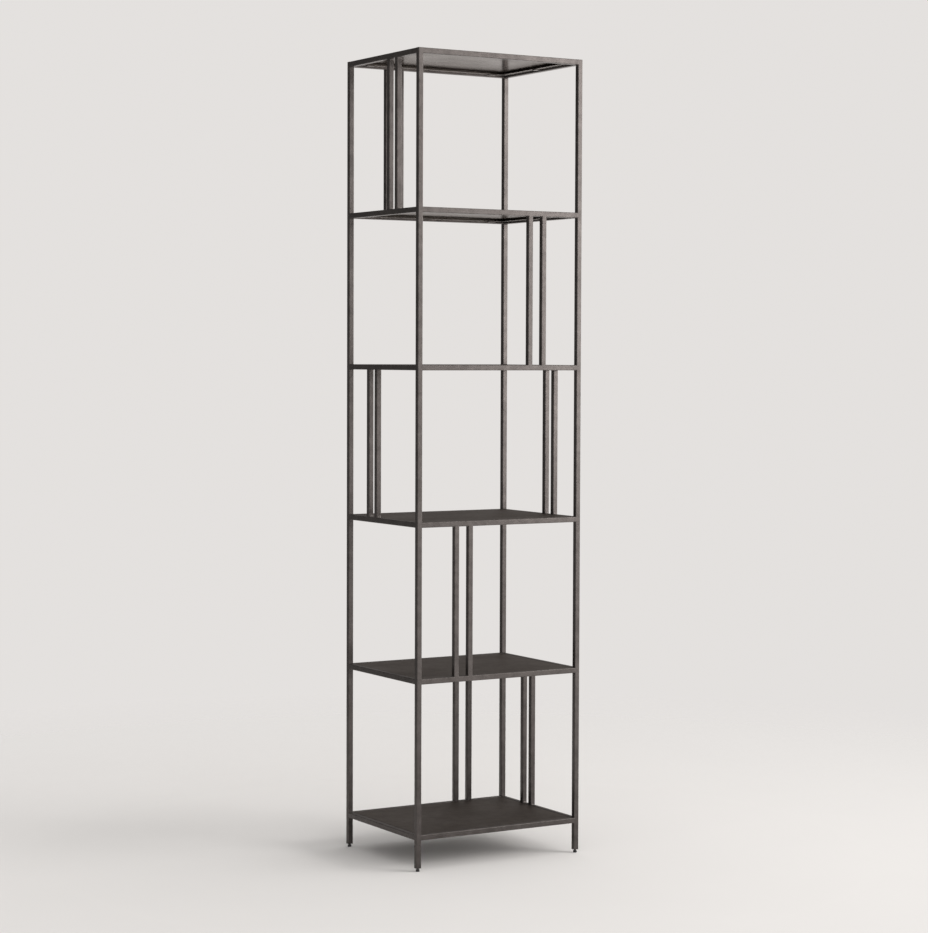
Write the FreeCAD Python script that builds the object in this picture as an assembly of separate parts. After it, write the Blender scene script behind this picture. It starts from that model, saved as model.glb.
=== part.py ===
# Tall narrow shelving tower: a welded square-tube frame that carries six
# folded steel trays, pairs of upright accent bars and four screw-in feet.
import FreeCAD, Part
import math
import os

# Overall size: floor to top, and over the outer faces of the posts
HEIGHT = 1930.4
WIDTH = 457.2
DEPTH = 350.0

# Square steel tube of the posts, rails and bars
TUBE = 12.7
TUBE_WALL = 1.2
TUBE_CORNER = 1.5

# Shelf levels, counted from the floor, and the rail top of the lowest one
LEVELS = 6
LOWEST_LEVEL = 86.4

# Square plate let into the top of each post, flush with its end
CAP_THICK = 2.0
CAP_FIT = 0.05

# Accent bars: outer face of the post to the first bar, and bar to bar
BAR_INSET = 101.6
BAR_GAP = 25.4

# Folded tray: a top skin, a flange down each side and a lip turned inwards
TRAY_SHEET = 1.2
TRAY_FOLD = 7.2
TRAY_INNER_BEND = 0.6
TRAY_LIP = 15.0
TRAY_SEAM = 1.0
TRAY_DROP = 0.3
MITRE_GAP = 1.6

# Flat tabs welded inside the rails, which the tray lips rest on
TAB_THICK = 2.0
TAB_WIDTH = 20.0
TAB_REACH = 14.0
TAB_INSET = 54.0

# Levelling foot: a nylon pad, free to turn on the end of a threaded stud
FOOT_LIFT = 8.0
PAD_RADIUS = 4.5
PAD_HEIGHT = 5.0
PAD_FLOOR = 1.2
STUD_RADIUS = 3.0
FLATS_ACROSS = 5.0
FLATS_HEIGHT = 2.0
FLATS_LIFT = 0.4
TRAVEL_DOWN = 8.0
RUNNING_FIT = 0.08

# Threaded insert pressed into the bottom of each post
INSERT_LENGTH = 16.0
INSERT_RECESS = 0.6
INSERT_FIT = 0.05

# How far a cutting tool runs past the face that it cuts
OVERRUN = 1.0

UP = FreeCAD.Vector(0, 0, 1)
ORIGIN = FreeCAD.Vector(0, 0, 0)

# Places worked out from the sizes above
POST_X = (WIDTH - TUBE) / 2
POST_Y = (DEPTH - TUBE) / 2
CLEAR_X = WIDTH - 2 * TUBE
CLEAR_Y = DEPTH - 2 * TUBE
TUBE_BORE = TUBE - 2 * TUBE_WALL
LEVEL_PITCH = (HEIGHT - LOWEST_LEVEL) / (LEVELS - 1)
BAR_CLEAR = LEVEL_PITCH - TUBE
TRAY_BEND = TRAY_INNER_BEND + TRAY_SHEET
LIP_UNDER = TRAY_DROP + TRAY_FOLD
STUD_TIP = FOOT_LIFT + INSERT_RECESS + INSERT_LENGTH + TRAVEL_DOWN / 2

SIDES_X = {"left": -1, "right": 1}
SIDES_Y = {"front": -1, "back": 1}
CORNERS = {
    f"{name_y}_{name_x}": (sign_x, sign_y)
    for name_y, sign_y in SIDES_Y.items()
    for name_x, sign_x in SIDES_X.items()
}

# Pairs of bars in each bay, from the floor up: their face, and the side of it they are near
BAR_PAIRS = [
    [("back", "right"), ("right", "back")],
    [("front", "left")],
    [("left", "back"), ("right", "front")],
    [("front", "right")],
    [("left", "front"), ("back", "left")],
]


def at(x, y, z):
    return FreeCAD.Vector(x, y, z)


def level_top(level):
    return LOWEST_LEVEL + (level - 1) * LEVEL_PITCH


def export(node, shapes):
    """Write one node: a single solid, or a group of separate ones."""
    shape = shapes[0] if len(shapes) == 1 else Part.makeCompound(shapes)
    assert all(solid.isValid() for solid in shape.Solids), node
    shape.exportStep(f"parts/{node}.step")


def block(low, high):
    """A box between two opposite corners."""
    size = high.sub(low)
    return Part.makeBox(size.x, size.y, size.z, low)


def round_bar(radius, low, high):
    """A cylinder on the Z axis between two heights."""
    return Part.makeCylinder(radius, high - low, at(0, 0, low), UP)


def rounded_outline(size_x, size_y, corner):
    """A rectangle round the origin in the XY plane, with arcs at its corners."""
    half_x = size_x / 2
    half_y = size_y / 2
    lean = corner * math.sin(math.pi / 4)
    edges = []
    turns = [(1, -1), (1, 1), (-1, 1), (-1, -1)]
    for index, (sign_x, sign_y) in enumerate(turns):
        centre = at(sign_x * (half_x - corner), sign_y * (half_y - corner), 0)
        beside = centre.add(at(sign_x * corner, 0, 0))
        above = centre.add(at(0, sign_y * corner, 0))
        middle = centre.add(at(sign_x * lean, sign_y * lean, 0))
        start, end = (above, beside) if sign_x * sign_y < 0 else (beside, above)
        edges.append(Part.Arc(start, middle, end).toShape())
        next_x, next_y = turns[(index + 1) % len(turns)]
        next_centre = at(next_x * (half_x - corner), next_y * (half_y - corner), 0)
        along_x = next_x * next_y < 0
        step = at(0, next_y * corner, 0) if along_x else at(next_x * corner, 0, 0)
        edges.append(Part.LineSegment(end, next_centre.add(step)).toShape())
    return Part.Wire(edges)


def moved(shape, x, y, z):
    piece = shape.copy()
    piece.translate(at(x, y, z))
    return piece


def turned(shape, axis, degrees):
    piece = shape.copy()
    piece.rotate(ORIGIN, axis, degrees)
    return piece


def upright_tube(length):
    """A length of square tube, sawn square, standing on the XY plane."""
    outline = Part.Face(rounded_outline(TUBE, TUBE, TUBE_CORNER))
    half = TUBE_BORE / 2
    bore = block(at(-half, -half, -OVERRUN), at(half, half, length + OVERRUN))
    return outline.extrude(at(0, 0, length)).cut(bore)


def lying_tube(length):
    """The same tube lying along X, with its middle at the origin."""
    centred = moved(upright_tube(length), 0, 0, -length / 2)
    return turned(centred, at(0, 1, 0), 90)


def make_posts():
    """Four corner posts, each open at the foot and closed by a plate in its top."""
    post = upright_tube(HEIGHT - FOOT_LIFT)
    half = TUBE_BORE / 2 - CAP_FIT
    plate = block(at(-half, -half, 0), at(half, half, CAP_THICK))
    plates = []
    for name, (sign_x, sign_y) in CORNERS.items():
        x = sign_x * POST_X
        y = sign_y * POST_Y
        export(f"post_{name}", [moved(post, x, y, FOOT_LIFT)])
        plates.append(moved(plate, x, y, HEIGHT - CAP_THICK))
    export("post_caps", plates)


def make_rails():
    """Four rails at each level, flush with the posts and welded between them."""
    long_rail = lying_tube(CLEAR_X)
    short_rail = turned(lying_tube(CLEAR_Y), UP, 90)
    rails = {
        "front": moved(long_rail, 0, -POST_Y, 0),
        "back": moved(long_rail, 0, POST_Y, 0),
        "left": moved(short_rail, -POST_X, 0, 0),
        "right": moved(short_rail, POST_X, 0, 0),
    }
    for level in range(1, LEVELS + 1):
        for name, rail in rails.items():
            z = level_top(level) - TUBE / 2
            export(f"rail_{name}_level_{level}", [moved(rail, 0, 0, z)])


def make_bars():
    """Pairs of accent bars, welded between the rails of neighbouring levels."""
    bar = upright_tube(BAR_CLEAR)
    insets = [BAR_INSET + TUBE / 2, BAR_INSET + TUBE + BAR_GAP + TUBE / 2]
    for bay, pairs in enumerate(BAR_PAIRS, 1):
        for face, near in pairs:
            bars = []
            for inset in insets:
                if face in SIDES_Y:
                    x = SIDES_X[near] * (WIDTH / 2 - inset)
                    y = SIDES_Y[face] * POST_Y
                else:
                    x = SIDES_X[face] * POST_X
                    y = SIDES_Y[near] * (DEPTH / 2 - inset)
                bars.append(moved(bar, x, y, level_top(bay)))
            export(f"bars_bay_{bay}_{face}", bars)


def tab_places():
    """Each tab's root on its rail's inner face, and the way that it points."""
    places = []
    for sign_y in SIDES_Y.values():
        for sign_x in SIDES_X.values():
            root = at(sign_x * (WIDTH / 2 - TAB_INSET), sign_y * CLEAR_Y / 2, 0)
            places.append((root, 90 if sign_y < 0 else -90))
    for sign_x in SIDES_X.values():
        places.append((at(sign_x * CLEAR_X / 2, 0, 0), 0 if sign_x < 0 else 180))
    return places


def folded_tray():
    """One tray with the top skin's upper face on the XY plane."""
    corner = at(CLEAR_X / 2 - TRAY_SEAM, CLEAR_Y / 2 - TRAY_SEAM, 0)
    tray = block(at(-corner.x, -corner.y, -TRAY_FOLD), corner)
    folds = [edge for edge in tray.Edges if edge.BoundBox.ZMin > -TRAY_FOLD / 2]
    tray = tray.makeFillet(TRAY_BEND, folds)
    inner = corner.sub(at(TRAY_SHEET, TRAY_SHEET, TRAY_SHEET))
    floor = TRAY_SHEET - TRAY_FOLD
    tray = tray.cut(block(at(-inner.x, -inner.y, floor), inner))

    low = -TRAY_FOLD - OVERRUN
    window = at(corner.x - TRAY_LIP, corner.y - TRAY_LIP, floor + OVERRUN)
    tray = tray.cut(block(at(-window.x, -window.y, low), window))

    # A mitre slot parts the lips at each corner and ends at the bend
    run = TRAY_LIP * math.sqrt(2)
    slot = block(at(0, -MITRE_GAP / 2, low), at(run, MITRE_GAP / 2, floor + OVERRUN))
    for index, (sign_x, sign_y) in enumerate([(1, 1), (-1, 1), (-1, -1), (1, -1)]):
        inwards = turned(slot, UP, 225 + 90 * index)
        x = sign_x * (corner.x - TRAY_BEND)
        y = sign_y * (corner.y - TRAY_BEND)
        tray = tray.cut(moved(inwards, x, y, 0))
    return tray


def support_tab():
    """A flat plate pointing along +X, with its upper face on the XY plane."""
    return block(at(0, -TAB_WIDTH / 2, -TAB_THICK), at(TAB_REACH, TAB_WIDTH / 2, 0))


def make_shelves():
    """Six trays, each on six tabs inside its frame of rails."""
    tray = folded_tray()
    tab = support_tab()
    tabs = []
    for root, degrees in tab_places():
        tabs.append(moved(turned(tab, UP, degrees), root.x, root.y, root.z))
    for level in range(1, LEVELS + 1):
        top = level_top(level)
        export(f"shelf_tray_level_{level}", [moved(tray, 0, 0, top - TRAY_DROP)])
        export(f"tray_tabs_level_{level}", [moved(one, 0, 0, top - LIP_UNDER) for one in tabs])


def foot_pad():
    """The nylon pad, with the blind socket that holds the stud's end."""
    socket = round_bar(STUD_RADIUS + RUNNING_FIT, PAD_FLOOR, PAD_HEIGHT + OVERRUN)
    return round_bar(PAD_RADIUS, 0, PAD_HEIGHT).cut(socket)


def foot_stud():
    """The threaded stud, with two spanner flats just above the pad."""
    stud = round_bar(STUD_RADIUS, PAD_FLOOR + RUNNING_FIT, STUD_TIP)
    flats_low = PAD_HEIGHT + FLATS_LIFT
    outside = STUD_RADIUS + OVERRUN
    low = at(-outside, FLATS_ACROSS / 2, flats_low)
    high = at(outside, outside, flats_low + FLATS_HEIGHT)
    for degrees in (0, 180):
        stud = stud.cut(turned(block(low, high), UP, degrees))
    return stud


def foot_insert():
    """The square insert inside the post's foot, bored for the stud."""
    half = TUBE_BORE / 2 - INSERT_FIT
    low = FOOT_LIFT + INSERT_RECESS
    high = low + INSERT_LENGTH
    insert = block(at(-half, -half, low), at(half, half, high))
    return insert.cut(round_bar(STUD_RADIUS + RUNNING_FIT, low - OVERRUN, high + OVERRUN))


def make_feet():
    """A pad and a stud under each post, screwed into the post's insert."""
    pad = foot_pad()
    stud = foot_stud()
    insert = foot_insert()
    inserts = []
    for name, (sign_x, sign_y) in CORNERS.items():
        x = sign_x * POST_X
        y = sign_y * POST_Y
        export(f"foot_pad_{name}", [moved(pad, x, y, 0)])
        export(f"foot_stud_{name}", [moved(stud, x, y, 0)])
        inserts.append(moved(insert, x, y, 0))
    export("foot_inserts", inserts)


os.makedirs("parts", exist_ok=True)
make_posts()
make_rails()
make_bars()
make_shelves()
make_feet()
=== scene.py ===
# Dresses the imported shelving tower: its coating, ground welds, stud threads and moulded feet.
import bmesh
import bpy
import math
from mathutils import Matrix, Vector, noise


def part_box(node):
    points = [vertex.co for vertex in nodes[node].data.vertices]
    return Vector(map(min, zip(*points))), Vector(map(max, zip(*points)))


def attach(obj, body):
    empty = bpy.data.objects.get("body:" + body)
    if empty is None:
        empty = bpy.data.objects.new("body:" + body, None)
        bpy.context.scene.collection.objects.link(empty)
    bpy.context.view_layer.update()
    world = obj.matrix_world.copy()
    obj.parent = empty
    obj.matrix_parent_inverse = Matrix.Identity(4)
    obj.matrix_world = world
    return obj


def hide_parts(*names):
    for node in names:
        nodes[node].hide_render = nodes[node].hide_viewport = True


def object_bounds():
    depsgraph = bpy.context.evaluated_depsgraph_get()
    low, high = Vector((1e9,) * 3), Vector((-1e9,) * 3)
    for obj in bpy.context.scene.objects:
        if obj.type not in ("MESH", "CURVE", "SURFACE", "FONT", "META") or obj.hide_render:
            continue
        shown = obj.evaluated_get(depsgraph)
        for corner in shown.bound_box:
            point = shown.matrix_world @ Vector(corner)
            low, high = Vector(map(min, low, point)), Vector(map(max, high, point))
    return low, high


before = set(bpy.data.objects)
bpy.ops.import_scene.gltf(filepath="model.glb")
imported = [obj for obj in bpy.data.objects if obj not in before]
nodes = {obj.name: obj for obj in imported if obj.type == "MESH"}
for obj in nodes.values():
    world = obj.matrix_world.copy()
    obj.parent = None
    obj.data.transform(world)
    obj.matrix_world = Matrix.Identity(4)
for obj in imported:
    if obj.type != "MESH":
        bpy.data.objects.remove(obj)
cad_low, cad_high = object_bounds()

MM = 0.001

# The camera that was fitted to the edges in the photograph: pixels, metres and radians
IMAGE_HEIGHT = 933
FOCAL_PIXELS = 2437.42
CENTRE_ROW = 454.5
CAMERA_PLACE = Vector((-3.0709, -5.1044, 1.2164))
CAMERA_YAW = 0.54202
CAMERA_PITCH = -0.0408
CAMERA_ROLL = 0.00349
CLIP_NEAR = 0.05
CLIP_FAR = 60.0

# Blender gives the sensor and the lens in millimetres
SENSOR_SIZE = 36.0

# Sizes read from the frame, and the tube's corner radius
post_low, post_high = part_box("post_front_left")
TUBE = post_high.x - post_low.x
TUBE_CORNER = 1.5 * MM
LEVELS = 6
LEVEL_TOPS = [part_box(f"rail_front_level_{level}")[1].z for level in range(1, LEVELS + 1)]
LEVEL_PITCH = LEVEL_TOPS[1] - LEVEL_TOPS[0]
CLEAR_X = cad_high.x - TUBE
CLEAR_Y = cad_high.y - TUBE
CORNERS = ("front_left", "front_right", "back_left", "back_right")


# Camera

def make_camera():
    """The photograph's camera: a long lens a little above mid height, rolled by a hair."""
    right = Vector((math.cos(CAMERA_YAW), -math.sin(CAMERA_YAW), 0))
    forward = Vector((
        math.sin(CAMERA_YAW) * math.cos(CAMERA_PITCH),
        math.cos(CAMERA_YAW) * math.cos(CAMERA_PITCH),
        math.sin(CAMERA_PITCH),
    ))
    up = right.cross(forward)
    side = math.cos(CAMERA_ROLL) * right + math.sin(CAMERA_ROLL) * up
    top = math.cos(CAMERA_ROLL) * up - math.sin(CAMERA_ROLL) * right
    turn = Matrix((side, top, -forward)).transposed().to_4x4()
    data = bpy.data.cameras.new("camera")
    data.sensor_fit = "AUTO"
    data.sensor_width = SENSOR_SIZE
    data.lens = FOCAL_PIXELS * SENSOR_SIZE / IMAGE_HEIGHT
    data.shift_y = (CENTRE_ROW - IMAGE_HEIGHT / 2) / IMAGE_HEIGHT
    data.clip_start = CLIP_NEAR
    data.clip_end = CLIP_FAR
    camera = bpy.data.objects.new("camera", data)
    camera.matrix_world = Matrix.Translation(CAMERA_PLACE) @ turn
    bpy.context.scene.collection.objects.link(camera)
    bpy.context.scene.camera = camera


# Shader nodes

NOISE_ROUGHNESS = 0.6

# The range that most of a noise's values lie in
MIDDLE = (0.3, 0.7)


def add(tree, kind, inputs=None, **settings):
    """A shader node with its settings, and its inputs set or linked."""
    node = tree.nodes.new(kind)
    for key, value in settings.items():
        setattr(node, key, value)
    for key, value in (inputs or {}).items():
        if isinstance(value, bpy.types.NodeSocket):
            tree.links.new(value, node.inputs[key])
        else:
            node.inputs[key].default_value = value
    return node


def new_material(name):
    """An empty node material and its tree."""
    material = bpy.data.materials.new(name)
    material.use_nodes = True
    tree = material.node_tree
    tree.nodes.clear()
    return material, tree


def math_node(tree, operation, first, second=0.0):
    """The result of one sum, product or the like."""
    node = add(tree, "ShaderNodeMath", {0: first, 1: second}, operation=operation)
    return node.outputs[0]


def up_part(tree, vector):
    """A vector's Z."""
    return add(tree, "ShaderNodeSeparateXYZ", {0: vector}).outputs[2]


def noise_value(tree, place, frequencies, detail):
    """Noise from 0 to 1 with its own frequency per metre along each axis."""
    mapping = add(tree, "ShaderNodeMapping", {"Vector": place, "Scale": frequencies})
    grain = add(tree, "ShaderNodeTexNoise", {
        "Vector": mapping.outputs[0], "Scale": 1.0, "Detail": detail, "Roughness": NOISE_ROUGHNESS,
    })
    return grain.outputs["Fac"]


def ramped(tree, value, from_low, from_high, to_low, to_high):
    """A value taken from one range to another and held at its ends."""
    node = add(tree, "ShaderNodeMapRange", {
        "Value": value, "From Min": from_low, "From Max": from_high,
        "To Min": to_low, "To Max": to_high,
    })
    return node.outputs[0]


def mixed_colour(tree, share, first, second):
    """The second colour's share over the first."""
    node = add(tree, "ShaderNodeMix", {0: share, 6: first, 7: second}, data_type="RGBA")
    return node.outputs[2]


def bumped(tree, height, strength, distance, normal=None):
    """The normal of a relief that lies on another relief, or on the plain surface."""
    inputs = {"Height": height, "Strength": strength, "Distance": distance}
    if normal is not None:
        inputs["Normal"] = normal
    return add(tree, "ShaderNodeBump", inputs).outputs[0]


# The coating: its roughness is given for faces that look down, sideways and up

COAT_DARK = (0.049, 0.0425, 0.040, 1)
COAT_MID = (0.075, 0.066, 0.0625, 1)
# Pale worn metal for flakes and rounded corners; on the corners it is partly wear and partly a painted
# highlight
COAT_WORN_AND_HIGHLIGHT = (0.186, 0.168, 0.157, 1)
COAT_TINT = (0.95, 0.915, 0.90, 1)
COAT_ROUGHNESS = (0.28, 0.25, 0.55)
COAT_METALLIC = 0.54
COAT_SPECULAR = 0.42

TRAY_DARK = (0.034, 0.027, 0.022, 1)
TRAY_MID = (0.057, 0.047, 0.040, 1)
TRAY_TINT = (0.84, 0.78, 0.745, 1)
TRAY_ROUGHNESS = (0.25, 0.42, 0.58)
TRAY_WAVES = 0.5 * MM
# Pale colour painted on the undersides of the trays' lips: a painted reflection of the bright floor
LIP_PAINTED_REFLECTION = (0.42, 0.40, 0.385, 1)

# Noises: frequencies per metre along X, Y and Z, and octaves of detail
MOTTLE = ((46.0, 46.0, 46.0), 5.0)
CLOUD = ((7.0, 7.0, 7.0), 3.0)
PEEL = ((1100.0, 1100.0, 1100.0), 2.0)
SPECK = ((2600.0, 2600.0, 2600.0), 1.0)
GRIND = ((5200.0, 3100.0, 700.0), 3.0)
WAVES = ((5.0, 6.0, 5.0), 1.0)

# The tube's draw lines: frequencies per metre along and across it
STREAK_ALONG = 14.0
STREAK_ACROSS = 900.0
STREAK_DETAIL = 2.0

# The ranges of mottle and speck that show, and how strongly flakes and worn corners with their painted
# highlight do
MOTTLE_SHOWN = (0.34, 0.68)
SPECK_SHOWN = (0.62, 0.74)
FLAKE_SHARE = 0.35
CORNER_WEAR_AND_HIGHLIGHT = 0.8

# What clouds, draw lines and grinding add to the roughness
CLOUD_DULLING = (-0.05, 0.07)
STREAK_DULLING = (-0.025, 0.025)
GRIND_DULLING = (0.02, 0.14)

# Strength and height of each relief
PEEL_RELIEF = (0.55, 0.035 * MM)
STREAK_RELIEF = (0.35, 0.03 * MM)
GRIND_RELIEF = (0.5, 0.06 * MM)
WAVES_STRENGTH = 1.0

# From a joint: how far the metal is ground all over, and where the grinding ends
UPRIGHT_GRINDING = (2 * MM, 11 * MM)
RAIL_GRINDING = (3 * MM, 12 * MM)

# The largest part of a normal that is all flat face, and all rounded corner
FLAT_NORMAL = 0.96
ROUND_NORMAL = 0.74

# Height from a level's top, and the normal's Z, where a tray's sheet ends and its lip, with its painted
# reflection, begins
LIP_HEIGHTS = (-5 * MM, -6.5 * MM)
LIP_FACING = (-0.5, -0.8)

# The normal's Z between faces that look down, sideways and up
UNDER_TO_SIDE = (-0.8, -0.2)
SIDE_TO_TOP = (0.2, 0.8)


def height_from_levels(tree, height, first):
    """Signed height over the nearest of six planes a level apart, the lowest of them at first."""
    phase = math_node(tree, "DIVIDE", math_node(tree, "SUBTRACT", height, first), LEVEL_PITCH)
    apart = math_node(tree, "SUBTRACT", phase, math_node(tree, "ROUND", phase))
    return math_node(tree, "MULTIPLY", apart, LEVEL_PITCH)


def joint_mask(tree, place, along):
    """1 at the welded joints of a tube that runs along that axis, 0 away from them."""
    if along == "Z":
        height = up_part(tree, place)
        signed = height_from_levels(tree, height, LEVEL_TOPS[0] - TUBE / 2)
        distance = math_node(tree, "ABSOLUTE", signed)
        ground, coated = (TUBE / 2 + reach for reach in UPRIGHT_GRINDING)
        return ramped(tree, distance, ground, coated, 1.0, 0.0)
    axis, end = (0, CLEAR_X) if along == "X" else (1, CLEAR_Y)
    split = add(tree, "ShaderNodeSeparateXYZ", {0: place})
    distance = math_node(tree, "ABSOLUTE", split.outputs[axis])
    ground, coated = (end - reach for reach in RAIL_GRINDING)
    return ramped(tree, distance, coated, ground, 0.0, 1.0)


def corner_wear_and_highlight_mask(tree, normal):
    """1 on the tube's rounded corners, which wear first and carry a painted highlight, 0 on its flat
    faces.
    """
    split = add(tree, "ShaderNodeSeparateXYZ", {0: normal})
    sizes = [math_node(tree, "ABSOLUTE", split.outputs[axis]) for axis in range(3)]
    largest = math_node(tree, "MAXIMUM", math_node(tree, "MAXIMUM", sizes[0], sizes[1]), sizes[2])
    return ramped(tree, largest, FLAT_NORMAL, ROUND_NORMAL, 0.0, 1.0)


def lip_reflection_mask(tree, place, normal):
    """1 on the undersides of a tray's return lips, where a pale reflection is painted, 0 on its sheet."""
    height = height_from_levels(tree, up_part(tree, place), LEVEL_TOPS[0])
    low_enough = ramped(tree, height, *LIP_HEIGHTS, 0.0, 1.0)
    looks_down = ramped(tree, up_part(tree, normal), *LIP_FACING, 0.0, 1.0)
    return math_node(tree, "MULTIPLY", low_enough, looks_down)


def coat_colour(tree, place, normal, dark, mid):
    """A mottled coat with fine flakes, rubbed through on rounded corners, which are also lightened as a
    painted highlight.
    """
    tone = ramped(tree, noise_value(tree, place, *MOTTLE), *MOTTLE_SHOWN, 0.0, 1.0)
    colour = mixed_colour(tree, tone, dark, mid)
    flake = ramped(tree, noise_value(tree, place, *SPECK), *SPECK_SHOWN, 0.0, FLAKE_SHARE)
    colour = mixed_colour(tree, flake, colour, COAT_WORN_AND_HIGHLIGHT)
    # Rounded corners lighter: partly rubbed-through wear, partly a painted highlight along the edges
    rub_and_highlight = math_node(tree, "MULTIPLY", corner_wear_and_highlight_mask(tree, normal), tone)
    rub_and_highlight = math_node(tree, "MULTIPLY", rub_and_highlight, CORNER_WEAR_AND_HIGHLIGHT)
    return mixed_colour(tree, rub_and_highlight, colour, COAT_WORN_AND_HIGHLIGHT)


def coat(name, along=None, dark=COAT_DARK, mid=COAT_MID, tint=COAT_TINT,
         roughness=COAT_ROUGHNESS, waves=0.0):
    """Satin dark bronze coat over tube drawn along an axis, or over sheet without one, whose lips'
    undersides get a painted pale reflection.
    """
    material, tree = new_material(name)
    source = add(tree, "ShaderNodeTexCoord")
    place = source.outputs["Object"]
    normal = source.outputs["Normal"]
    frequencies = [STREAK_ALONG if axis == along else STREAK_ACROSS for axis in "XYZ"]
    streak = noise_value(tree, place, frequencies, STREAK_DETAIL)

    colour = coat_colour(tree, place, normal, dark, mid)
    upright = up_part(tree, normal)
    under, side, top = roughness
    gloss = ramped(tree, upright, *UNDER_TO_SIDE, under, side)
    gloss = math_node(tree, "ADD", gloss, ramped(tree, upright, *SIDE_TO_TOP, 0.0, top - side))
    cloud = ramped(tree, noise_value(tree, place, *CLOUD), *MIDDLE, *CLOUD_DULLING)
    gloss = math_node(tree, "ADD", gloss, cloud)
    gloss = math_node(tree, "ADD", gloss, ramped(tree, streak, *MIDDLE, *STREAK_DULLING))
    relief = bumped(tree, noise_value(tree, place, *PEEL), *PEEL_RELIEF)
    relief = bumped(tree, streak, *STREAK_RELIEF, relief)

    if along:
        joint = joint_mask(tree, place, along)
        grind = noise_value(tree, place, *GRIND)
        dulling = ramped(tree, grind, *MIDDLE, *GRIND_DULLING)
        gloss = math_node(tree, "ADD", gloss, math_node(tree, "MULTIPLY", joint, dulling))
        relief = bumped(tree, math_node(tree, "MULTIPLY", joint, grind), *GRIND_RELIEF, relief)
    else:
        # Painted reflection: the lips' undersides are painted pale, as if they mirrored the bright floor
        colour = mixed_colour(tree, lip_reflection_mask(tree, place, normal), colour, LIP_PAINTED_REFLECTION)
    if waves:
        relief = bumped(tree, noise_value(tree, place, *WAVES), WAVES_STRENGTH, waves, relief)

    shader = add(tree, "ShaderNodeBsdfPrincipled", {
        "Base Color": colour, "Roughness": gloss, "Metallic": COAT_METALLIC,
        "Specular IOR Level": COAT_SPECULAR, "Specular Tint": tint, "Normal": relief,
    })
    add(tree, "ShaderNodeOutputMaterial", {"Surface": shader.outputs[0]})
    return material


# The feet's materials

ZINC_DARK = (0.030, 0.030, 0.033, 1)
ZINC_PALE = (0.085, 0.083, 0.082, 1)
ZINC_PATCH = ((420.0, 420.0, 420.0), 4.0)
ZINC_FINE = ((4000.0, 4000.0, 4000.0), 2.0)
ZINC_ROUGHNESS = (0.28, 0.46)
ZINC_RELIEF = (0.4, 0.02 * MM)
ZINC_METALLIC = 0.85

NYLON_DARK = (0.013, 0.013, 0.014, 1)
NYLON_SCUFFED = (0.034, 0.033, 0.032, 1)
NYLON_GRAIN = ((3200.0, 3200.0, 3200.0), 3.0)
NYLON_SCUFF = ((300.0, 300.0, 900.0), 4.0)
NYLON_SCUFF_SHOWN = (0.45, 0.75)
NYLON_ROUGHNESS = (0.48, 0.66)
NYLON_RELIEF = (0.6, 0.03 * MM)
NYLON_SPECULAR = 0.4


def black_zinc():
    """Black-plated steel of the levelling studs, dull where the plating is thick."""
    material, tree = new_material("black_zinc")
    place = add(tree, "ShaderNodeTexCoord").outputs["Object"]
    patch = noise_value(tree, place, *ZINC_PATCH)
    shader = add(tree, "ShaderNodeBsdfPrincipled", {
        "Base Color": mixed_colour(tree, patch, ZINC_DARK, ZINC_PALE),
        "Roughness": ramped(tree, patch, *MIDDLE, *ZINC_ROUGHNESS),
        "Metallic": ZINC_METALLIC,
        "Normal": bumped(tree, noise_value(tree, place, *ZINC_FINE), *ZINC_RELIEF),
    })
    add(tree, "ShaderNodeOutputMaterial", {"Surface": shader.outputs[0]})
    return material


def black_nylon():
    """Moulded nylon with a fine spark-eroded grain and faint scuffs."""
    material, tree = new_material("black_nylon")
    place = add(tree, "ShaderNodeTexCoord").outputs["Object"]
    grain = noise_value(tree, place, *NYLON_GRAIN)
    scuff = noise_value(tree, place, *NYLON_SCUFF)
    share = ramped(tree, scuff, *NYLON_SCUFF_SHOWN, 0.0, 1.0)
    shader = add(tree, "ShaderNodeBsdfPrincipled", {
        "Base Color": mixed_colour(tree, share, NYLON_DARK, NYLON_SCUFFED),
        "Roughness": ramped(tree, grain, *MIDDLE, *NYLON_ROUGHNESS),
        "Specular IOR Level": NYLON_SPECULAR,
        "Normal": bumped(tree, grain, *NYLON_RELIEF),
    })
    add(tree, "ShaderNodeOutputMaterial", {"Surface": shader.outputs[0]})
    return material


COAT_BY_AXIS = {axis: coat(f"coat_along_{axis.lower()}", axis) for axis in "XYZ"}
COAT_TRAY = coat("coat_tray", None, TRAY_DARK, TRAY_MID, TRAY_TINT,
                 TRAY_ROUGHNESS, TRAY_WAVES)
COAT_TAB = coat("coat_tab")
ZINC = black_zinc()
NYLON = black_nylon()


def node_material(name):
    """The finish of a CAD node, with draw lines along its tube."""
    if name.startswith(("post_front", "post_back", "bars_")):
        return COAT_BY_AXIS["Z"]
    if name.startswith("rail_"):
        return COAT_BY_AXIS["X" if name.split("_")[1] in ("front", "back") else "Y"]
    if name.startswith("shelf_tray"):
        return COAT_TRAY
    if name == "foot_inserts":
        return NYLON
    return COAT_TAB


# Pieces

SHARP_ANGLE = math.radians(40)


def finished_mesh(bm, name):
    """A smooth-shaded mesh that keeps its hard edges."""
    bmesh.ops.recalc_face_normals(bm, faces=bm.faces)
    for face in bm.faces:
        face.smooth = True
    for edge in bm.edges:
        edge.smooth = edge.calc_face_angle(math.pi) < SHARP_ANGLE
    mesh = bpy.data.meshes.new(name)
    bm.to_mesh(mesh)
    bm.free()
    return mesh


def new_piece(mesh, material, body):
    """A finished mesh as an object that rides on a body."""
    piece = bpy.data.objects.new(mesh.name, mesh)
    bpy.context.scene.collection.objects.link(piece)
    mesh.materials.append(material)
    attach(piece, body)
    return piece


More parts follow.
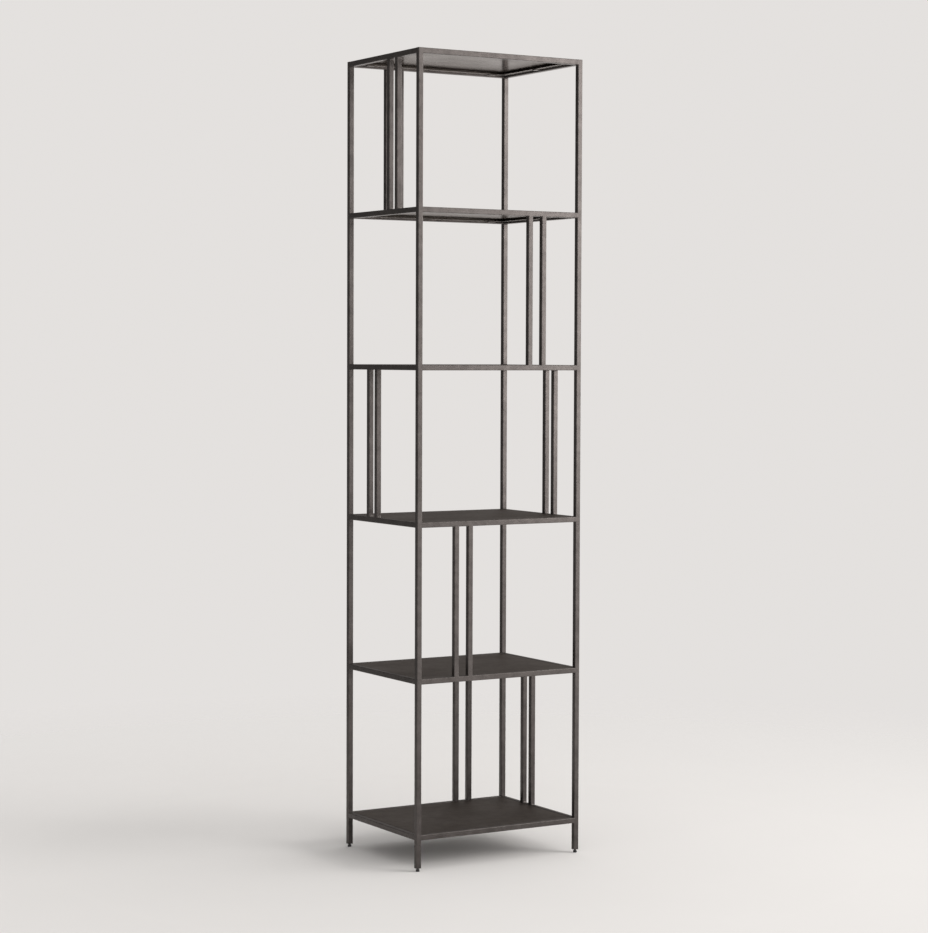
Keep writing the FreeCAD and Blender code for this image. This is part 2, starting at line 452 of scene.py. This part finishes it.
def bridge_rings(bm, rings):
    """A closed skin over rings that have as many points each."""
    rows = [[bm.verts.new(point) for point in ring] for ring in rings]
    count = len(rows[0])
    for low, high in zip(rows, rows[1:]):
        for index in range(count):
            after = (index + 1) % count
            bm.faces.new((low[index], low[after], high[after], high[index]))
    bm.faces.new(list(reversed(rows[0])))
    bm.faces.new(rows[-1])


# Welds

SIDE_STEPS = 5
ARC_STEPS = 4

# A weld's rings: how far along the tube each is from the neighbour's face, in millimetres
WELD_STEPS = (-1.5, -0.9, -0.3, 0.2, 0.6, 1.1, 1.7, 2.8, 4.4, 6.2)

# The metal's rise at each ring where it was ground flush, and where the bead was left
FLUSH_RISE = (-0.05, 0.012, 0.022, 0.024, 0.024, 0.022, 0.02, 0.014, 0.006, -0.01)
BEAD_RISE = (-0.05, 0.40, 1.05, 0.96, 0.62, 0.32, 0.12, 0.03, 0.006, -0.01)

# The bead dies out towards the tube's corners and has ripples; ground metal is a little uneven
BEAD_FADE_POWER = 6
BEAD_RIPPLE = 0.12
BEAD_RIPPLES = 4.0
UNEVEN = 0.010
UNEVEN_GRAIN = 500.0

# The tube's outer and inner sides, which are ground flush at every joint
FLUSH_SIDES = (0, 2)

# Seeds, so that no two welds are alike
LEVEL_SEED = 10.0
RAIL_SEED_STEP = 1.7
BAR_HEIGHT_SEED = 10
BAR_SEED_STEP = 2.3


def tube_section():
    """Points round the tube: the place, the way out, the side and the share along it.

    Sides are 0 for +X, 1 for +Y, 2 for -X and 3 for -Y, and None on the rounded corners.
    """
    half = TUBE / 2
    flat = half - TUBE_CORNER
    points = []
    for side in range(4):
        turn = Matrix.Rotation(side * math.pi / 2, 2)
        for step in range(-SIDE_STEPS, SIDE_STEPS + 1):
            share = step / SIDE_STEPS
            points.append((turn @ Vector((half, flat * share)), turn @ Vector((1, 0)), side, share))
        for step in range(1, ARC_STEPS):
            angle = math.pi / 2 * step / ARC_STEPS
            out = Vector((math.cos(angle), math.sin(angle)))
            points.append((turn @ (Vector((flat, flat)) + TUBE_CORNER * out), turn @ out, None, 1.0))
    return points


def weld_rise(flush, bead, side, share, flush_sides, seed):
    """How far the weld stands off the tube there, in millimetres."""
    if side is None or side in flush_sides:
        return flush
    middle = 1 - share ** BEAD_FADE_POWER
    ripple = BEAD_RIPPLE * math.sin(share * BEAD_RIPPLES * math.pi + seed)
    return flush + (bead - flush) * middle * (1 + ripple)


def weld(bm, place, flush_sides, seed):
    """The weld round a butted tube end, closed, with its hidden end inside the neighbour.

    place takes the tube's own frame, with Z along it and away from the joint, to the tower's.
    """
    rings = []
    for step, flush, bead in zip(WELD_STEPS, FLUSH_RISE, BEAD_RISE):
        ring = []
        fade = 1 - step / WELD_STEPS[-1]
        for spot, out, side, share in tube_section():
            rise = weld_rise(flush, bead, side, share, flush_sides, seed)
            grain = Vector((spot.x, spot.y, step * MM)) * UNEVEN_GRAIN + Vector((seed, 0, 0))
            moved = spot + out * (rise + UNEVEN * noise.noise(grain) * fade) * MM
            ring.append(place @ Vector((moved.x, moved.y, step * MM)))
        rings.append(ring)
    bridge_rings(bm, rings)


def frame_towards(origin, away, side):
    """A frame at origin whose Z runs along away, with X along side."""
    third = away.cross(side)
    turn = Matrix((side, third, away)).transposed().to_4x4()
    return Matrix.Translation(origin) @ turn


def unit(axis, sign=1):
    """A unit vector along an axis."""
    vector = Vector((0, 0, 0))
    vector[axis] = sign
    return vector


def weld_rails(level, sides, axis):
    """The welds of two of a level's rails to the posts, as one piece."""
    bm = bmesh.new()
    seed = level * LEVEL_SEED + axis
    outwards = unit(1 - axis)
    for side in sides:
        low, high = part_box(f"rail_{side}_level_{level}")
        for end, sign in ((low, 1), (high, -1)):
            origin = (low + high) / 2
            origin[axis] = end[axis]
            away = unit(axis, sign)
            flush = list(FLUSH_SIDES)
            if level == LEVELS:
                flush.append(1 if away.cross(outwards).z > 0 else 3)
            weld(bm, frame_towards(origin, away, outwards), flush, seed)
            seed += RAIL_SEED_STEP
    mesh = finished_mesh(bm, f"rail_welds_{sides[0]}_{sides[1]}_level_{level}")
    new_piece(mesh, COAT_BY_AXIS["XYZ"[axis]], "tower")


def weld_bars(name):
    """The welds of one pair of bars to the rails below and above, as one piece."""
    bm = bmesh.new()
    low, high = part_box(name)
    axis = 0 if high.x - low.x > high.y - low.y else 1
    outwards = unit(1 - axis)
    seed = low.z * BAR_HEIGHT_SEED
    for start in (low[axis], high[axis] - TUBE):
        for end, sign in ((low.z, 1), (high.z, -1)):
            origin = (low + high) / 2
            origin[axis] = start + TUBE / 2
            origin.z = end
            weld(bm, frame_towards(origin, unit(2, sign), outwards), FLUSH_SIDES, seed)
            seed += BAR_SEED_STEP
    new_piece(finished_mesh(bm, f"{name}_welds"), COAT_BY_AXIS["Z"], "tower")


# Levelling feet

ROUND_SIDES = 40
RUNNING_FIT = 0.08 * MM

# Turned shapes close on a small flat round their axis, given as a share of their radius
CORE_SHARE = 0.02

# The pad: its rounded edges, the dish in its base and the mouth of its socket
PAD_ROUNDING = 0.7 * MM
PAD_ROUND_STEPS = 4
PAD_DISH = 0.25 * MM
DISH_FLAT_SHARE = 0.55
DISH_RIM_SHARE = 0.68
MOUTH_ROUNDING = 0.3 * MM

# The M6 stud: bevelled ends, two spanner flats and a thread
END_BEVEL = 0.3 * MM
TIP_BEVEL = 0.8 * MM
FLATS_ACROSS = 5.0 * MM
FLATS_LIFT = 0.4 * MM
FLATS_HEIGHT = 2.0 * MM
FLATS_STEP = 0.02 * MM
THREAD_GAP = 0.35 * MM
THREAD_PITCH = 1.0 * MM
THREAD_DEPTH = 0.55 * MM
THREAD_CREST = 0.12
THREAD_FLANK = 0.70
RINGS_PER_TURN = 8


def lathe(name, centre, profile):
    """A closed turned mesh from (radius, height) points, both in metres."""
    bm = bmesh.new()
    rings = []
    for radius, height in profile:
        ring = []
        for index in range(ROUND_SIDES):
            angle = 2 * math.pi * index / ROUND_SIDES
            ring.append(centre + Vector((radius * math.cos(angle), radius * math.sin(angle), height)))
        rings.append(ring)
    bridge_rings(bm, rings)
    return finished_mesh(bm, name)


def pad_profile(radius, height, bore, socket_floor):
    """The pad's outline from the middle of its base, round its edges, to the socket's floor."""
    soft = PAD_ROUNDING
    core = CORE_SHARE * radius
    profile = [(core, PAD_DISH), (radius * DISH_FLAT_SHARE, PAD_DISH)]
    profile += [(radius * DISH_RIM_SHARE, 0.0), (radius - soft, 0.0)]
    turns = [math.pi / 2 * step / PAD_ROUND_STEPS for step in range(PAD_ROUND_STEPS + 1)]
    for angle in turns[1:]:
        profile.append((radius - soft + soft * math.sin(angle), soft - soft * math.cos(angle)))
    for angle in turns:
        profile.append((radius - soft + soft * math.cos(angle), height - soft + soft * math.sin(angle)))
    mouth = MOUTH_ROUNDING
    profile += [(bore + mouth, height), (bore + mouth / 3, height - mouth / 3), (bore, height - mouth)]
    return profile + [(bore, socket_floor), (core, socket_floor)]


def make_pad(corner):
    """The moulded pad: rounded edges, a dished base and a rounded socket mouth."""
    low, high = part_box(f"foot_pad_{corner}")
    radius = (high.x - low.x) / 2
    centre = Vector(((low.x + high.x) / 2, (low.y + high.y) / 2, low.z))
    stud_low, stud_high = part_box(f"foot_stud_{corner}")
    bore = (stud_high.x - stud_low.x) / 2 + RUNNING_FIT
    socket_floor = stud_low.z - low.z - RUNNING_FIT
    profile = pad_profile(radius, high.z - low.z, bore, socket_floor)
    mesh = lathe(f"moulded_pad_{corner}", centre, profile)
    piece = new_piece(mesh, NYLON, f"foot_{corner}")
    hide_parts(f"foot_pad_{corner}")


def thread_profile(turns):
    """Depth of a 60 degree thread at a place in turns, 0 at the crest and 1 at the root."""
    part = abs(turns - math.floor(turns) - 0.5) * 2
    return min(max((part - THREAD_CREST) / THREAD_FLANK, 0.0), 1.0)


def stud_reach(radius, z, angle, low, high, thread_low):
    """The stud's radius at a height and an angle, before its flats are cut."""
    if z > thread_low:
        fade_in = min((z - thread_low) / THREAD_PITCH, 1.0)
        turns = (z - thread_low) / THREAD_PITCH - angle / (2 * math.pi)
        threaded = radius - THREAD_DEPTH * fade_in * thread_profile(turns)
        return min(threaded, radius - TIP_BEVEL + high - z)
    return radius - END_BEVEL if z == low else radius


def make_stud(corner):
    """The M6 stud: plain end in the pad, two spanner flats, then a rolled thread."""
    name = f"foot_stud_{corner}"
    low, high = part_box(name)
    pad_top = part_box(f"foot_pad_{corner}")[1].z
    radius = (high.x - low.x) / 2
    centre = Vector(((low.x + high.x) / 2, (low.y + high.y) / 2, 0))
    flats_low = pad_top + FLATS_LIFT
    flats_high = flats_low + FLATS_HEIGHT
    thread_low = flats_high + THREAD_GAP
    heights = [low.z, low.z + END_BEVEL, flats_low, flats_low + FLATS_STEP]
    heights += [flats_high - FLATS_STEP, flats_high]
    step = THREAD_PITCH / RINGS_PER_TURN
    heights += [thread_low + index * step for index in range(int((high.z - thread_low) / step))]
    heights.append(high.z)
    bm = bmesh.new()
    rings = []
    for z in heights:
        ring = []
        for index in range(ROUND_SIDES):
            angle = 2 * math.pi * (index + 0.5) / ROUND_SIDES
            reach = stud_reach(radius, z, angle, low.z, high.z, thread_low)
            x = reach * math.cos(angle)
            y = reach * math.sin(angle)
            if flats_low < z < flats_high:
                y = max(min(y, FLATS_ACROSS / 2), -FLATS_ACROSS / 2)
            ring.append(centre + Vector((x, y, z)))
        rings.append(ring)
    bridge_rings(bm, rings)
    mesh = finished_mesh(bm, f"threaded_stud_{corner}")
    piece = new_piece(mesh, ZINC, f"screw_{corner}")
    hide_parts(name)


# Stage

# The floor: a square of twice this size, faded out between two distances from the middle
FLOOR_SIZE = 9.0
FLOOR_PARTS = 8
FADE_FROM = 1.0
FADE_TO = 2.8
FLOOR_COLOUR = (0.83, 0.815, 0.80, 1)
FLOOR_LIGHTER = 1.03
FLOOR_CLOUD = ((2.0, 2.0, 2.0), 4.0)
FLOOR_ROUGHNESS = 1.0
FLOOR_SPECULAR = 0.0

# The world: the backdrop's colour, and the room that lights the tower
BACKGROUND = (0.775, 0.752, 0.735, 1)
ROOM_COLOUR = (1.0, 0.985, 0.972, 1)
LIGHT_SIDE = Vector((0.75, -0.62, 0.20)).normalized()
ROOM_SPREAD = (-0.70, 0.80)
ROOM_LEVELS = (0.22, 1.20)

# Below the horizon the room glows as a pale floor would, in full from this height of a direction
GLOW_FROM = -0.12
FLOOR_GLOW = 2.0

LAMP_PLACE = Vector((5.7, -5.4, 2.75))
LAMP_AIM = Vector((0, 0, 1.2))
LAMP_SIZE = (3.8, 4.7)
LAMP_POWER = 480.0
LAMP_COLOUR = (1.0, 0.98, 0.965)


def floor_material():
    """Pale, faintly clouded floor that fades outwards and is clear from below."""
    material, tree = new_material("floor")
    place = add(tree, "ShaderNodeTexCoord").outputs["Object"]
    length = add(tree, "ShaderNodeVectorMath", {0: place}, operation="LENGTH").outputs["Value"]
    below = add(tree, "ShaderNodeNewGeometry").outputs["Backfacing"]
    fade = math_node(tree, "MAXIMUM", ramped(tree, length, FADE_FROM, FADE_TO, 0.0, 1.0), below)
    lighter = tuple(value * FLOOR_LIGHTER for value in FLOOR_COLOUR[:3]) + (1,)
    cloud = noise_value(tree, place, *FLOOR_CLOUD)
    surface = add(tree, "ShaderNodeBsdfPrincipled", {
        "Base Color": mixed_colour(tree, cloud, FLOOR_COLOUR, lighter),
        "Roughness": FLOOR_ROUGHNESS, "Specular IOR Level": FLOOR_SPECULAR,
    })
    clear = add(tree, "ShaderNodeBsdfTransparent")
    mix = add(tree, "ShaderNodeMixShader", {0: fade, 1: surface.outputs[0], 2: clear.outputs[0]})
    add(tree, "ShaderNodeOutputMaterial", {"Surface": mix.outputs[0]})
    return material


def make_floor():
    """The floor under the tower, which takes its shadow."""
    bm = bmesh.new()
    bmesh.ops.create_grid(bm, x_segments=FLOOR_PARTS, y_segments=FLOOR_PARTS, size=FLOOR_SIZE)
    mesh = bpy.data.meshes.new("floor")
    bm.to_mesh(mesh)
    bm.free()
    floor = bpy.data.objects.new("floor", mesh)
    bpy.context.scene.collection.objects.link(floor)
    mesh.materials.append(floor_material())


def make_world():
    """A soft room, bright at the front right, with a pale backdrop where it is seen."""
    world = bpy.data.worlds.new("studio")
    bpy.context.scene.world = world
    world.use_nodes = True
    tree = world.node_tree
    tree.nodes.clear()
    direction = add(tree, "ShaderNodeTexCoord").outputs["Generated"]
    toward = add(tree, "ShaderNodeVectorMath", {0: direction, 1: LIGHT_SIDE}, operation="DOT_PRODUCT")
    level = ramped(tree, toward.outputs["Value"], *ROOM_SPREAD, *ROOM_LEVELS)
    glow = ramped(tree, up_part(tree, direction), 0.0, GLOW_FROM, 1.0, FLOOR_GLOW)
    level = math_node(tree, "MULTIPLY", level, glow)
    room = add(tree, "ShaderNodeBackground", {"Color": ROOM_COLOUR, "Strength": level})
    path = add(tree, "ShaderNodeLightPath")
    direct = math_node(tree, "MAXIMUM", path.outputs["Is Camera Ray"], path.outputs["Is Transmission Ray"])
    seen = math_node(tree, "MAXIMUM", direct, path.outputs["Is Glossy Ray"])
    strength = add(tree, "ShaderNodeMix", {0: direct, 2: level, 3: 1.0}).outputs[0]
    backdrop = add(tree, "ShaderNodeBackground", {"Color": BACKGROUND, "Strength": strength})
    mix = add(tree, "ShaderNodeMixShader", {0: seen, 1: room.outputs[0], 2: backdrop.outputs[0]})
    add(tree, "ShaderNodeOutputWorld", {"Surface": mix.outputs[0]})


def make_lamp():
    """A tall soft window light from the front right."""
    data = bpy.data.lights.new("window", "AREA")
    data.shape = "RECTANGLE"
    data.size, data.size_y = LAMP_SIZE
    data.energy = LAMP_POWER
    data.color = LAMP_COLOUR
    lamp = bpy.data.objects.new("window", data)
    lamp.location = LAMP_PLACE
    lamp.rotation_mode = "QUATERNION"
    lamp.rotation_quaternion = (LAMP_AIM - LAMP_PLACE).to_track_quat("-Z", "Y")
    bpy.context.scene.collection.objects.link(lamp)


make_camera()
for name, node in nodes.items():
    for material_slot in node.material_slots:
        material_slot.material = node_material(name)
for level in range(1, LEVELS + 1):
    weld_rails(level, ("front", "back"), 0)
    weld_rails(level, ("left", "right"), 1)
for name in sorted(nodes):
    if name.startswith("bars_"):
        weld_bars(name)
for corner in CORNERS:
    make_pad(corner)
    make_stud(corner)
make_floor()
make_world()
make_lamp()

bpy.context.scene.view_settings.view_transform = "Standard"
